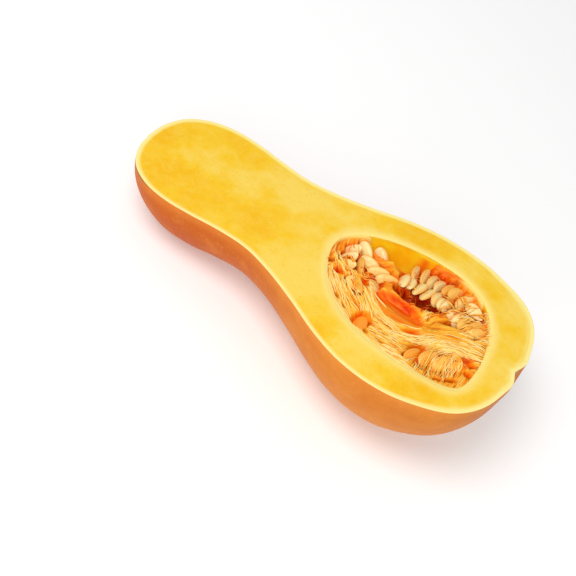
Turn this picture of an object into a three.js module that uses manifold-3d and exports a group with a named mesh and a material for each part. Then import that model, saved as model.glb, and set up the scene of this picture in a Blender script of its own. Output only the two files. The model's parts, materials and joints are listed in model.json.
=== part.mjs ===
// Half of a butternut squash, cut lengthways: rind, flesh, stringy pulp and seeds.
//
// The squash is modelled in its own frame, in millimetres: x runs along its axis from the stem end
// to the blossom end, y runs across the cut and z stands out of it, so the cut face is z = 0 and the
// fruit is below it. The last section lays it on its rounded back, cut side up, with +Z up, the stem
// end towards -X, and the origin under the middle of its box.

import * as THREE from 'three';
import { mergeVertices } from 'three/addons/utils/BufferGeometryUtils.js';
import Module from 'manifold-3d';

const wasm = await Module();
wasm.setup();

// ---------------------------------------------------------------- driving dimensions

const length = 270;
const rindThickness = 1.6;
const gap = 0.3;
const neckSway = 3;
const bulbSway = 0.8;
const waist = 95;
const bodySegments = 48;
const bodyStations = 40;
const leastRadius = 0.4;

const cavityStart = 134;
const cavityEnd = 248;
const cavityHalfWidth = 43;
const cavityDepth = 44;
const cavityBluntness = 2.3;
const cavityBluntnessGain = 0.3;
const cavityWidthGain = 0.1;
const cavityFarLean = 8;
const cavityNearLean = 18;
const cavitySegments = 36;
const cavityStations = 16;
const pulpTop = -1;
const hollowSegments = 16;
const hollowRings = 10;

const seedLength = 15;
const seedWidth = 8.4;
const seedThickness = 2.8;
const seedTaper = 0.28;
const seedSegments = 8;
const seedRings = 5;

const weldDistance = 1e-4;

const finishes = {
  rind: { color: 0xe0904c, roughness: 0.45 },
  flesh: { color: 0xfbce3c, roughness: 0.5 },
  pulp: { color: 0xf6a62c, roughness: 0.4 },
  seed: { color: 0xfbdc9c, roughness: 0.4 },
};

// ---------------------------------------------------------------- solids

function solidOf(geometry) {
  geometry.deleteAttribute('normal');
  geometry.deleteAttribute('uv');
  const merged = mergeVertices(geometry, weldDistance);
  const corners = [];
  const index = merged.index.array;
  for (let i = 0; i < index.length; i += 3) {
    const [a, b, c] = index.slice(i, i + 3);
    if (a !== b && b !== c && c !== a) {
      corners.push(a, b, c);
    }
  }
  return new wasm.Manifold(new wasm.Mesh({
    numProp: 3,
    vertProperties: new Float32Array(merged.attributes.position.array),
    triVerts: new Uint32Array(corners),
  }));
}

// A cut can leave crumbs; the largest body is the piece itself.
function largest(solid) {
  const bodies = solid.decompose();
  return bodies.reduce((best, body) => (body.volume() > best.volume() ? body : best));
}

function geometryOf(solid) {
  const mesh = solid.getMesh();
  const geometry = new THREE.BufferGeometry();
  geometry.setAttribute('position', new THREE.BufferAttribute(mesh.vertProperties, 3));
  geometry.setIndex(new THREE.BufferAttribute(mesh.triVerts, 1));
  geometry.computeVertexNormals();
  return geometry;
}

function belowLevel(solid, level) {
  const reach = 2 * length;
  const box = new THREE.BoxGeometry(2 * reach, 2 * reach, reach);
  box.translate(0, 0, level + reach / 2);
  return solid.subtract(solidOf(box));
}

// ---------------------------------------------------------------- the fruit's outline

// Points along the fruit from the stem end to the dimple at the blossom end:
// distance along the axis, half width across the cut, depth below the cut.
const outline = new THREE.CatmullRomCurve3([
  [0, 0, 0],
  [1.5, 13, 10],
  [7, 26, 21],
  [15, 34, 33],
  [26, 39.5, 43],
  [40, 42, 50],
  [57, 41.5, 51.5],
  [75, 39.5, 48.5],
  [95, 39, 46],
  [115, 43.5, 48],
  [137, 51.5, 55],
  [158, 60.5, 63],
  [178, 66.5, 70.5],
  [198, 68.5, 74.5],
  [216, 67, 74],
  [232, 62.5, 69],
  [246, 56.5, 60],
  [256, 48.5, 48],
  [264, 36, 33],
  [268.5, 20, 17],
  [length, 10, 9],
  [length - 3, 0, 0],
].map(([x, width, depth]) => new THREE.Vector3(x, width, depth)));

// The axis bends a little to one side at the neck and to the other at the bulb.
function bend(x) {
  const along = Math.PI * x / length;
  return neckSway * Math.sin(2 * along) + bulbSway * Math.sin(along);
}

// The rounded body that lies a given distance inside the skin.
function bodyAt(inset) {
  const stations = [];
  for (let i = 0; i <= bodyStations; i += 1) {
    const t = i / bodyStations;
    const point = outline.getPoint(t);
    const run = outline.getTangent(t);
    const across = Math.hypot(run.x, run.y) || 1;
    const down = Math.hypot(run.x, run.z) || 1;
    const pole = i === 0 || i === bodyStations;
    stations.push({
      x: point.x + inset * run.y / across,
      width: pole ? 0 : Math.max(point.y - inset * run.x / across, leastRadius),
      depth: pole ? 0 : Math.max(point.z - inset * run.x / down, leastRadius),
    });
  }
  return revolve(stations, bodySegments, bend);
}

// Turns stations along the x axis into a closed round body, deeper or shallower than it is wide.
function revolve(stations, segments, sideways) {
  const profile = stations.map(({ x, width }) => new THREE.Vector2(width, x));
  const body = new THREE.LatheGeometry(profile, segments);
  const position = body.attributes.position;
  for (let i = 0; i < position.count; i += 1) {
    const { width, depth } = stations[i % stations.length];
    const x = position.getY(i);
    const squash = width > 0 ? depth / width : 1;
    position.setXYZ(i, x, position.getZ(i) + sideways(x), position.getX(i) * squash);
  }
  return solidOf(body);
}

// ---------------------------------------------------------------- the seed cavity

// An egg with its blunter end towards the blossom.
function cavityAt(inset) {
  const halfLength = (cavityEnd - cavityStart) / 2 - inset;
  const middle = (cavityStart + cavityEnd) / 2;
  const stations = [];
  for (let i = 0; i <= cavityStations; i += 1) {
    const along = -Math.cos(Math.PI * i / cavityStations);
    const bluntness = cavityBluntness + cavityBluntnessGain * along;
    const round = Math.max(1 - Math.abs(along) ** bluntness, 0) ** (1 / bluntness);
    const egg = round * (1 + cavityWidthGain * along);
    stations.push({
      x: middle + halfLength * along,
      width: (cavityHalfWidth - inset) * egg,
      depth: (cavityDepth - inset) * egg,
    });
  }
  return revolve(stations, cavitySegments, cavityLean);
}

// The cavity leans to the far side at its neck end and to the near side at its blossom end.
function cavityLean(x) {
  const along = THREE.MathUtils.clamp((x - cavityStart) / (cavityEnd - cavityStart), 0, 1);
  return cavityFarLean * (1 - along) ** 6 - cavityNearLean * along ** 8;
}

// ---------------------------------------------------------------- the hollows in the pulp

// Each hollow is an ellipsoid: its centre, its half sizes and how far it is turned in the cut.
const hollows = [
  { at: [189, 6, 34], half: [26, 42, 46], turn: -8 },
  { at: [191, 12, -8], half: [17, 6, 17], turn: 4 },
  { at: [171, 35, -1], half: [22, 10, 18], turn: 14 },
  { at: [193, 29, 8], half: [33, 17, 17.5], turn: -4 },
  { at: [154, 13, 6], half: [23, 17, 14], turn: 0 },
  { at: [226, 18, 6], half: [21, 17, 12], turn: -20 },
  { at: [176, -31, 0], half: [5.5, 8, 9], turn: -20 },
  { at: [225, -26, 6], half: [24, 15, 12], turn: 20 },
];

function hollow({ at, half, turn }) {
  const ball = new THREE.SphereGeometry(1, hollowSegments, hollowRings);
  ball.scale(...half);
  ball.rotateZ(THREE.MathUtils.degToRad(turn));
  ball.translate(...at);
  return solidOf(ball);
}

// ---------------------------------------------------------------- the seeds

// Rows of seeds. Each runs evenly from one place to another, and its seeds turn evenly too:
// heading is where the tip points in the cut, pitch lifts the tip and roll tips the seed on edge.
const seedRows = [
  { count: 3, from: [144.5, 16, -7], to: [146, 3, -6], heading: [15, 25], pitch: [50, 45], roll: [40, 40] },
  { count: 2, from: [151, 22.5, -6.5], to: [161, 28, -9], heading: [-25, -25], pitch: [-5, -10], roll: [50, 60] },
  { count: 2, from: [154, 8, -6], to: [169, 1, -5], heading: [-58, 80], pitch: [0, -35], roll: [75, 25] },
  { count: 3, from: [158, 16.5, -7], to: [172.5, 11, -7], heading: [12, 25], pitch: [5, 5], roll: [50, 50] },
  { count: 4, from: [180.5, 18.5, -5.5], to: [197, 18.5, -5.5], heading: [-72, -95], pitch: [20, 12], roll: [38, 35] },
  { count: 6, from: [184, 33, -9], to: [211, 33, -6], heading: [95, 65], pitch: [-10, -10], roll: [60, 55] },
  { count: 3, from: [204, 19, -4.5], to: [212, 17, -4], heading: [72, 72], pitch: [-20, -20], roll: [50, 50] },
  { count: 2, from: [218, 30, -6], to: [227.5, 27.5, -5], heading: [60, -15], pitch: [0, 0], roll: [50, 20] },
  { count: 5, from: [219, 17, -6], to: [236, 13, -4.5], heading: [62, 62], pitch: [0, 0], roll: [50, 50] },
  { count: 2, from: [160, -11, -2.2], to: [176, -31, -6], heading: [-25, -70], pitch: [0, 0], roll: [5, 15] },
  { count: 4, from: [212, -30, -4], to: [239, -18, -5], heading: [75, 40], pitch: [0, 0], roll: [45, 35] },
];

const seedSolidAtOrigin = makeSeed(0);
const seedSocketAtOrigin = makeSeed(gap);

// A flat teardrop along x, its tip towards +x.
function makeSeed(margin) {
  const stations = [];
  for (let i = 0; i <= seedRings; i += 1) {
    const along = -Math.cos(Math.PI * i / seedRings);
    const round = Math.sqrt(Math.max(1 - along * along, 0)) * (1 - seedTaper * along);
    stations.push({
      x: (seedLength / 2 + margin) * along,
      width: (seedWidth / 2 + margin) * round,
      depth: (seedThickness / 2 + margin) * round,
    });
  }
  return revolve(stations, seedSegments, () => 0);
}

function seedPlacements(row) {
  const placements = [];
  for (let i = 0; i < row.count; i += 1) {
    const t = i / (row.count - 1);
    const at = new THREE.Vector3(...row.from).lerp(new THREE.Vector3(...row.to), t);
    const [heading, pitch, roll] = [row.heading, row.pitch, row.roll].map(
      ([first, last]) => THREE.MathUtils.degToRad(THREE.MathUtils.lerp(first, last, t)),
    );
    const turn = new THREE.Matrix4().makeRotationFromEuler(new THREE.Euler(roll, -pitch, heading, 'ZYX'));
    placements.push(turn.setPosition(at));
  }
  return placements;
}

function placed(solid, placement) {
  return solid.transform(placement.elements);
}

// ---------------------------------------------------------------- the pieces

function makeRind() {
  return belowLevel(bodyAt(0).subtract(bodyAt(rindThickness)), 0);
}

function makeFlesh() {
  return belowLevel(bodyAt(rindThickness + gap).subtract(cavityAt(0)), 0);
}

function makePulp(placements) {
  let pulp = belowLevel(cavityAt(gap), pulpTop);
  for (const each of hollows) {
    pulp = pulp.subtract(hollow(each));
  }
  for (const placement of placements) {
    pulp = pulp.subtract(placed(seedSocketAtOrigin, placement));
  }
  return largest(pulp);
}

function meshOf(name, solid, finish) {
  const material = new THREE.MeshStandardMaterial({ ...finish, metalness: 0 });
  const mesh = new THREE.Mesh(geometryOf(solid), material);
  mesh.name = name;
  return mesh;
}

// ---------------------------------------------------------------- the half squash at rest

// The tilt, about the y axis, at which the neck and the bulb touch the table together.
function restTilt() {
  const underside = outline.getPoints(5 * bodyStations);
  const lowest = (points, tilt) => Math.min(
    ...points.map(({ x, z }) => x * Math.sin(tilt) - z * Math.cos(tilt)),
  );
  const neck = underside.filter(({ x }) => x < waist);
  const bulb = underside.filter(({ x }) => x >= waist);
  let low = 0;
  let high = Math.PI / 6;
  while (high - low > 1e-9) {
    const tilt = (low + high) / 2;
    if (lowest(neck, tilt) > lowest(bulb, tilt)) {
      low = tilt;
    } else {
      high = tilt;
    }
  }
  return low;
}

const squash = new THREE.Group();
const placements = seedRows.flatMap(seedPlacements);
squash.add(meshOf('rind', makeRind(), finishes.rind));
squash.add(meshOf('flesh', makeFlesh(), finishes.flesh));
squash.add(meshOf('pulp', makePulp(placements), finishes.pulp));
placements.forEach((placement, i) => {
  const name = `seed_${String(i + 1).padStart(2, '0')}`;
  squash.add(meshOf(name, placed(seedSolidAtOrigin, placement), finishes.seed));
});
squash.rotation.y = -restTilt();

const halfSquash = new THREE.Group();
halfSquash.add(squash);
const box = new THREE.Box3().setFromObject(halfSquash, true);
squash.position.set(-(box.min.x + box.max.x) / 2, -(box.min.y + box.max.y) / 2, -box.min.z);

export default halfSquash;
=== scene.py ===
"""Looks for the halved butternut squash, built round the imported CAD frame.

Every shape is worked out in the squash's own frame, in millimetres: x runs from the stem end to
the blossom end, y across the cut, and z out of it, with the cut face at z = 0. place() turns that
into the row frame, in metres.
"""
import json
import math
from collections import namedtuple

import bmesh
import bpy
import numpy as np
from mathutils import Matrix, Vector


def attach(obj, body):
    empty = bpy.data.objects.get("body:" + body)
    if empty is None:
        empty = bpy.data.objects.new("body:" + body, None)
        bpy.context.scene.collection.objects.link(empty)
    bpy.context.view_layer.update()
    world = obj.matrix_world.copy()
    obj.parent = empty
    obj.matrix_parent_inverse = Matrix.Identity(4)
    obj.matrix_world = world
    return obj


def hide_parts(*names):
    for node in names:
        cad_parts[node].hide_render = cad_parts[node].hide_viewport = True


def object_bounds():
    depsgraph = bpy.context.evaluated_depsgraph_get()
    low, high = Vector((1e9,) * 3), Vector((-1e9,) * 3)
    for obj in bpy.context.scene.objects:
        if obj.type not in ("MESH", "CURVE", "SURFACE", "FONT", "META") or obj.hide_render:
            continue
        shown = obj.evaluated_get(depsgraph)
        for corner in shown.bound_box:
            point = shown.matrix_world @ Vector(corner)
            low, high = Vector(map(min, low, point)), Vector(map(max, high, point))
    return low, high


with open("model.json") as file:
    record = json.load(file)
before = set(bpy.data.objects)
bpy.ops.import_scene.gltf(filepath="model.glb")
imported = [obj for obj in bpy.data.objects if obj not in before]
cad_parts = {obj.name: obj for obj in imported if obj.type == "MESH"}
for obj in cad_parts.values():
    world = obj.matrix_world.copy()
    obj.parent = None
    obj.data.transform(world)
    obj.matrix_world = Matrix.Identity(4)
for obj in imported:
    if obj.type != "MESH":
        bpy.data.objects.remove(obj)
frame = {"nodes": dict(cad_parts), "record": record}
cad_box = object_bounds()

# ---- the squash, as in the CAD model

LENGTH = 270.0
RIND = 1.6

# How far along the axis the mount on the cut face stands.
MOUNT_X = 60.0

# Along the axis, half width across the cut, depth below the cut.
OUTLINE = np.array([
    (0, 0, 0), (1.5, 13, 10), (7, 26, 21), (15, 34, 33), (26, 39.5, 43), (40, 42, 50),
    (57, 41.5, 51.5), (75, 39.5, 48.5), (95, 39, 46), (115, 43.5, 48), (137, 51.5, 55),
    (158, 60.5, 63), (178, 66.5, 70.5), (198, 68.5, 74.5), (216, 67, 74), (232, 62.5, 69),
    (246, 56.5, 60), (256, 48.5, 48), (264, 36, 33), (268.5, 20, 17), (LENGTH, 10, 9),
    (LENGTH - 3, 0, 0),
], dtype=float)

CAVITY_START = 134.0
CAVITY_END = 248.0
CAVITY_HALF_WIDTH = 43.0
CAVITY_DEPTH = 44.0

# How far the cavity's stem end leans to the far side, and its blossom end to the near side.
CAVITY_FAR_LEAN = 8.0
CAVITY_NEAR_LEAN = 18.0

# Ellipsoids hollowed out of the pulp: centre, half sizes, turn in the cut in degrees.
HOLLOWS = [
    ((189, 6, 34), (26, 42, 46), -8),
    ((195, 9.5, -8), (17, 6.5, 17), 8),
    ((171, 35, -1), (22, 10, 18), 14),
    ((193, 29, 8), (33, 17, 17.5), -4),
    ((154, 13, 6), (23, 17, 14), 0),
    ((226, 18, 6), (21, 17, 12), -20),
    ((176, -31, 0), (5.5, 8, 9), -20),
    ((225, -26, 6), (24, 15, 12), 20),
]


def bend(x):
    """How far the fruit's axis swings to the side."""
    return 3 * np.sin(2 * np.pi * x / LENGTH) + 0.8 * np.sin(np.pi * x / LENGTH)


def squash_axes():
    """The squash frame's axes and origin in the row frame, from the record's cut face."""
    cut = next(m for m in frame["record"]["mounts"] if m["name"] == "cut_face")
    out = np.array(cut["axis"], dtype=float)
    along = np.array([out[2], 0, -out[0]])
    across = np.array([0.0, 1.0, 0.0])
    axes = np.stack([along, across, out])
    origin = np.array(cut["pos_m"]) - np.array([MOUNT_X, bend(MOUNT_X), 0]) / 1000 @ axes
    return axes, origin


AXES, ORIGIN = squash_axes()


def place(points):
    """Squash frame in millimetres to row frame in metres."""
    return np.asarray(points, dtype=float) / 1000 @ AXES + ORIGIN


def unplace(points):
    """Row frame in metres to squash frame in millimetres."""
    return (np.asarray(points, dtype=float) - ORIGIN) @ AXES.T * 1000


# ---- curves and noise

# A distance longer than any in the squash, for points with nothing to measure to.
FAR = 99.0

# A height above everything in the squash, for points with nothing under or over them.
ABOVE = 5.0


def catmull(points, t):
    """A centripetal Catmull-Rom curve through points, at t from 0 to 1."""
    points = np.asarray(points, dtype=float)
    padded = np.vstack([2 * points[0] - points[1], points, 2 * points[-1] - points[-2]])
    place_on = np.clip(np.asarray(t) * (len(points) - 1), 0, len(points) - 1 - 1e-9)
    first = place_on.astype(int)
    u = (place_on - first)[:, None]
    p0, p1, p2, p3 = (padded[first + k] for k in range(4))
    d0, d1, d2 = (
        np.linalg.norm(b - a, axis=1)[:, None] ** 0.5 for a, b in ((p0, p1), (p1, p2), (p2, p3)))
    m1 = ((p1 - p0) / d0 - (p2 - p0) / (d0 + d1) + (p2 - p1) / d1) * d1
    m2 = ((p2 - p1) / d1 - (p3 - p1) / (d1 + d2) + (p3 - p2) / d2) * d1
    cubic = 2 * p1 - 2 * p2 + m1 + m2
    square = -3 * p1 + 3 * p2 - 2 * m1 - m2
    return p1 + m1 * u + square * u ** 2 + cubic * u ** 3


def noise(x, y, seed):
    """Smooth value noise from 0 to 1, one feature per unit."""
    x, y = np.broadcast_arrays(np.asarray(x, dtype=float), np.asarray(y, dtype=float))
    ix, iy = np.floor(x), np.floor(y)
    fx, fy = x - ix, y - iy
    sx, sy = fx * fx * (3 - 2 * fx), fy * fy * (3 - 2 * fy)

    def corner(a, b):
        """A fixed random value for each corner of the unit grid."""
        h = np.sin(a * 127.1 + b * 311.7 + seed * 74.7) * 43758.5453
        return h - np.floor(h)

    low = corner(ix, iy) * (1 - sx) + corner(ix + 1, iy) * sx
    high = corner(ix, iy + 1) * (1 - sx) + corner(ix + 1, iy + 1) * sx
    return low * (1 - sy) + high * sy


def smoothstep(low, high, value):
    """0 at low and 1 at high, with a soft start and end; low may be the larger of the two."""
    t = np.clip((value - low) / (high - low), 0, 1)
    return t * t * (3 - 2 * t)


# The outline as a fine curve, its direction, and how far along the skin each point is.
FINE = catmull(OUTLINE, np.linspace(0, 1, 4001))
TANGENT = np.gradient(FINE, axis=0)
RUN = np.concatenate([[0], np.cumsum(np.hypot(*np.diff(FINE[:, :2], axis=0).T))])
TOTAL_RUN = RUN[-1]


def outline_at(run, inset=0.0):
    """Distance along the axis, half width and depth at a run along the skin, inset from it."""
    x, width, depth = (np.interp(run, RUN, FINE[:, k]) for k in range(3))
    tx, tw, td = (np.interp(run, RUN, TANGENT[:, k]) for k in range(3))
    across, down = np.hypot(tx, tw), np.hypot(tx, td)
    pole = (run <= 0) | (run >= TOTAL_RUN)
    inner_width = np.where(pole, 0, np.maximum(width - inset * tx / across, 0.05))
    inner_depth = np.where(pole, 0, np.maximum(depth - inset * tx / down, 0.05))
    return x + inset * tw / across, inner_width, inner_depth


# ---- the seed cavity

def cavity_at(x):
    """Half width, depth and middle of the cavity."""
    half = (CAVITY_END - CAVITY_START) / 2
    along = np.clip((x - CAVITY_START) / half - 1, -1, 1)
    bluntness = 2.3 + 0.3 * along
    egg = np.maximum(1 - np.abs(along) ** bluntness, 0) ** (1 / bluntness) * (1 + 0.1 * along)
    share = (along + 1) / 2
    middle = CAVITY_FAR_LEAN * (1 - share) ** 6 - CAVITY_NEAR_LEAN * share ** 8
    return CAVITY_HALF_WIDTH * egg, CAVITY_DEPTH * egg, middle


def cavity_floor(x, y):
    """Height of the cavity's wall under a point of the cut."""
    width, depth, middle = cavity_at(x)
    across = np.clip((y - middle) / np.maximum(width, 1e-3), -1, 1)
    return -depth * np.sqrt(1 - across ** 2)


# ---- meshes

def make_object(name, points, faces, attributes, weld=None, crease=None):
    """A smooth mesh object from squash frame points, riding on the root body.

    Points closer than weld millimetres are joined, and edges sharper than crease degrees stay sharp.
    """
    mesh = bpy.data.meshes.new(name)
    mesh.from_pydata(place(points).tolist(), [], faces)
    for key, values in attributes.items():
        layer = mesh.attributes.new(key, "FLOAT", "POINT")
        layer.data.foreach_set("value", np.asarray(values, dtype=np.float32).ravel())
    if weld:
        weld_mesh(mesh, weld)
    mesh.shade_smooth()
    if crease:
        mesh.set_sharp_from_angle(angle=math.radians(crease))
    obj = bpy.data.objects.new(name, mesh)
    bpy.context.scene.collection.objects.link(obj)
    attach(obj, "root")
    return obj


def weld_mesh(mesh, distance):
    """Joins points that nearly coincide, drops the faces this leaves flat, and turns faces outward."""
    bm = bmesh.new()
    bm.from_mesh(mesh)
    bmesh.ops.remove_doubles(bm, verts=bm.verts, dist=distance / 1000)
    bmesh.ops.dissolve_degenerate(bm, edges=bm.edges, dist=distance / 1000 / 4)
    bmesh.ops.recalc_face_normals(bm, faces=bm.faces)
    bm.to_mesh(mesh)
    bm.free()


def grid_faces(rows, columns, start=0, wrap=False):
    """Quads of a grid of points; wrap joins the last column to the first."""
    across = columns if wrap else columns - 1
    faces = []
    for i in range(rows - 1):
        for j in range(across):
            k = (j + 1) % columns
            a = start + i * columns
            faces.append((a + j, a + k, a + columns + k, a + columns + j))
    return faces


# ---- materials

class Nodes:
    """A short way to write a Principled material's node tree."""

    def __init__(self, name):
        self.material = bpy.data.materials.new(name)
        self.material.use_nodes = True
        self.tree = self.material.node_tree
        self.shader = self.tree.nodes["Principled BSDF"]
        self.coordinates = self.tree.nodes.new("ShaderNodeTexCoord").outputs["Object"]

    def put(self, target, value):
        """Feeds an input from another node's output, or sets it to a plain value."""
        if isinstance(value, bpy.types.NodeSocket):
            self.tree.links.new(value, target)
        else:
            target.default_value = value

    def add(self, kind, **inputs):
        """A new shader node with some of its inputs fed."""
        node = self.tree.nodes.new("ShaderNode" + kind)
        for name, value in inputs.items():
            self.put(node.inputs[name], value)
        return node

    def attribute(self, name):
        """A value stored at the mesh's points."""
        node = self.add("Attribute")
        node.attribute_name = name
        return node.outputs["Fac"]

    def noise(self, scale, detail=3.0, roughness=0.5, stretch=None, distortion=0.0):
        """Cloudy noise; stretch scales its space along each axis."""
        space = self.coordinates
        if stretch:
            space = self.add("Mapping", Scale=stretch, Vector=space).outputs["Vector"]
        node = self.add("TexNoise", Scale=scale, Detail=detail, Roughness=roughness,
                        Distortion=distortion, Vector=space)
        return node.outputs["Fac"]

    def ramp(self, fac, stops):
        """A colour ramp from pairs of a position and a colour or a grey level."""
        node = self.add("ValToRGB", Fac=fac)
        elements = node.color_ramp.elements
        while len(elements) < len(stops):
            elements.new(0.5)
        for element, (position, value) in zip(elements, stops):
            element.position = position
            element.color = shader_colour(value)
        return node.outputs["Color"]

    def mix(self, fac, first, second):
        """The first colour where fac is 0, and the second where it is 1, each plain or a node's."""
        node = self.add("Mix")
        node.data_type = "RGBA"
        self.put(node.inputs["Factor"], fac)
        for name, value in (("A", first), ("B", second)):
            self.put(node.inputs[name], shader_colour(value) if isinstance(value, tuple) else value)
        return node.outputs["Result"]

    def math(self, operation, *values):
        """Two values added or multiplied."""
        node = self.add("Math")
        node.operation = operation
        for socket, value in zip(node.inputs, values):
            self.put(socket, value)
        return node.outputs["Value"]

    def bump(self, height, distance, strength):
        """Fine relief in the shading, up to distance metres high."""
        node = self.add("Bump", Distance=distance, Strength=strength, Height=height)
        self.put(self.shader.inputs["Normal"], node.outputs["Normal"])

    def finish(self, colour, roughness, subsurface=0.0, radius=(4, 2, 1), coat=0.0, specular=0.5):
        """The finished material; radius is how far each colour spreads inside it, in millimetres."""
        self.put(self.shader.inputs["Base Color"], colour)
        self.put(self.shader.inputs["Roughness"], roughness)
        plain = {
            "Subsurface Weight": subsurface, "Subsurface Radius": [each / 1000 for each in radius],
            "Subsurface Scale": 1.0, "Coat Weight": coat, "Coat Roughness": 0.25,
            "Specular IOR Level": specular,
        }
        for name, value in plain.items():
            self.shader.inputs[name].default_value = value
        return self.material


def shader_colour(value):
    """The linear colour a shader takes, from 0 to 255 screen values or one linear grey level."""
    if not isinstance(value, tuple):
        return value, value, value, 1
    shares = [each / 255 for each in value]
    return *(c / 12.92 if c <= 0.04045 else ((c + 0.055) / 1.055) ** 2.4 for c in shares), 1


def skin_material():
    """Tan-orange skin, redder on the neck, with mottling, specks, corky scars and a pale cut edge."""
    n = Nodes("squash_skin")
    broad = n.noise(16, 3, 0.55)
    mottled = n.noise(75, 5, 0.7)
    streaks = n.noise(34, 5, 0.65, stretch=(0.5, 3, 3))
    bulb = n.ramp(broad, [(0.35, (204, 108, 12)), (0.65, (216, 130, 34))])
    neck = n.ramp(broad, [(0.35, (190, 84, 4)), (0.65, (204, 102, 10))])
    base = n.mix(n.attribute("neck"), bulb, neck)
    base = n.mix(n.ramp(mottled, [(0.48, 0.0), (0.78, 0.45)]), base, (232, 150, 70))
    base = n.mix(n.ramp(streaks, [(0.5, 0.0), (0.75, 0.4)]), base, (190, 84, 18))
    specks = n.ramp(n.noise(700, 2, 0.5), [(0.64, 0.0), (0.74, 0.4)])
    base = n.mix(specks, base, (240, 178, 120))
    # Painted light: the upper skin near the cut is painted lighter and yellower, so the skin below reads
    # darker.
    base = n.mix(n.math("MULTIPLY", n.attribute("painted_light_near_cut"), 0.35), base, (240, 150, 60))
    # A grey-brown band darkens the skin just under the cut on the near side of the neck tip.
    base = n.mix(n.attribute("neck_dark_band"), base, (110, 84, 62))
    base = n.mix(n.attribute("edge"), base, (254, 236, 150))
    cork = n.ramp(n.noise(240, 5, 0.7), [
        (0.3, (118, 84, 50)), (0.5, (182, 144, 96)), (0.7, (216, 184, 134)),
    ])
    base = n.mix(n.attribute("scar"), base, cork)
    base = n.mix(n.attribute("scar_edge"), base, (236, 206, 150))
    dents = n.math("ADD", n.math("MULTIPLY", n.noise(260, 4, 0.6), 0.5), n.noise(50, 3, 0.5))
    n.bump(dents, 0.0006, 0.3)
    rough = n.math("ADD", 0.4, n.math("MULTIPLY", mottled, 0.2))
    return n.finish(base, rough, specular=0.13)


def flesh_material():
    """Yellow flesh in soft patches with fine pores, paler beside the skin and the cavity."""
    n = Nodes("squash_flesh")
    patches = n.noise(20, 4, 0.6)
    fine = n.noise(150, 5, 0.7, distortion=0.6)
    base = n.ramp(patches, [
        (0.38, (250, 214, 90)), (0.5, (249, 200, 30)), (0.62, (247, 188, 0)),
    ])
    base = n.mix(n.ramp(fine, [(0.42, 0.0), (0.72, 0.5)]), base, (250, 212, 84))
    pores = n.ramp(n.noise(520, 2, 0.5), [(0.6, 0.0), (0.72, 0.45)])
    base = n.mix(pores, base, (240, 182, 10))
    base = n.mix(n.attribute("near_cavity"), base, (254, 228, 134))
    base = n.mix(n.attribute("near_skin"), base, (254, 238, 150))
    base = n.mix(n.attribute("wall"), base, (250, 150, 10))
    grain = n.math("ADD", n.math("MULTIPLY", fine, 0.7), n.noise(600, 2, 0.5))
    n.bump(grain, 0.0004, 0.35)
    rough = n.math("ADD", 0.42, n.math("MULTIPLY", fine, 0.2))
    return n.finish(base, rough, subsurface=0.04, radius=(1.5, 1, 0.5), specular=0.3)


def pulp_material():
    """Wet pulp from pale gold on top to deep red painted shade in the hollows and grooves, and orange on
    the cavity's wall.
    """
    n = Nodes("squash_pulp")
    # Painted shade: the lower the pulp lies, and in its grooves, the redder and darker it is painted.
    base = n.ramp(n.attribute("warmth_and_shade"), [
        (0.0, (254, 216, 108)), (0.12, (254, 196, 66)), (0.28, (252, 160, 24)),
        (0.45, (250, 122, 6)), (0.65, (232, 72, 0)), (0.85, (194, 28, 0)),
        (1.0, (166, 14, 0)),
    ])
    blotch = n.ramp(n.noise(110, 3, 0.6), [(0.45, 0.0), (0.75, 0.4)])
    base = n.mix(blotch, base, (250, 160, 24))
    # Painted shade: the grooves between fibres and the narrow pits are painted dark brown.
    base = n.mix(n.math("MULTIPLY", n.attribute("groove_shade"), 0.75), base, (158, 66, 4))
    wall = n.ramp(n.noise(60, 3, 0.6), [(0.35, (255, 230, 36)), (0.65, (255, 192, 10))])
    wall = n.mix(n.attribute("red"), wall, (246, 92, 0))
    base = n.mix(n.attribute("wall"), base, wall)
    base = n.mix(n.attribute("rim"), base, (254, 226, 128))
    n.bump(n.noise(500, 3, 0.6), 0.0003, 0.4)
    return n.finish(base, 0.4, specular=0.22)


def strand_material():
    """Loose strings, from deep red through gold to pale yellow by their tone, which also carries painted
    shade on their undersides.
    """
    n = Nodes("pulp_strings")
    base = n.ramp(n.attribute("tone"), [
        (0.0, (214, 40, 4)), (0.25, (244, 126, 12)), (0.5, (252, 172, 42)),
        (0.75, (255, 204, 84)), (1.0, (255, 224, 140)),
    ])
    n.bump(n.noise(900, 2, 0.5), 0.0002, 0.4)
    return n.finish(base, 0.4, specular=0.25)


def seed_material():
    """Seed coats, from deep yellow where pulp clings and as painted shade on their lower sides, to cream,
    with a darker rim and stains.
    """
    n = Nodes("seed_coat")
    base = n.ramp(n.attribute("tone"), [
        (0.0, (252, 150, 20)), (0.35, (254, 200, 96)), (0.6, (255, 222, 142)),
        (1.0, (255, 238, 180)),
    ])
    stain = n.ramp(n.noise(180, 3, 0.6), [(0.5, 0.0), (0.75, 0.6)])
    base = n.mix(stain, base, (250, 170, 60))
    base = n.mix(n.math("MULTIPLY", n.attribute("rim"), 0.7), base, (248, 170, 60))
    n.bump(n.noise(500, 3, 0.6), 0.0002, 0.4)
    return n.finish(base, 0.36, subsurface=0.08, radius=(1.5, 1, 0.6), coat=0.1, specular=0.4)


# ---- the rind

# The stem's scar: its middle, its mean radius, how far its points reach out, and how many it has.
SCAR_AT = (1.0, -4.0, -11.0)
SCAR_RADIUS = 8.5
SCAR_REACH = 2.2
SCAR_POINTS = 5

# The pale cut edge of the rind starts this far inside its skin.
RIM_STEP = 0.1


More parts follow.
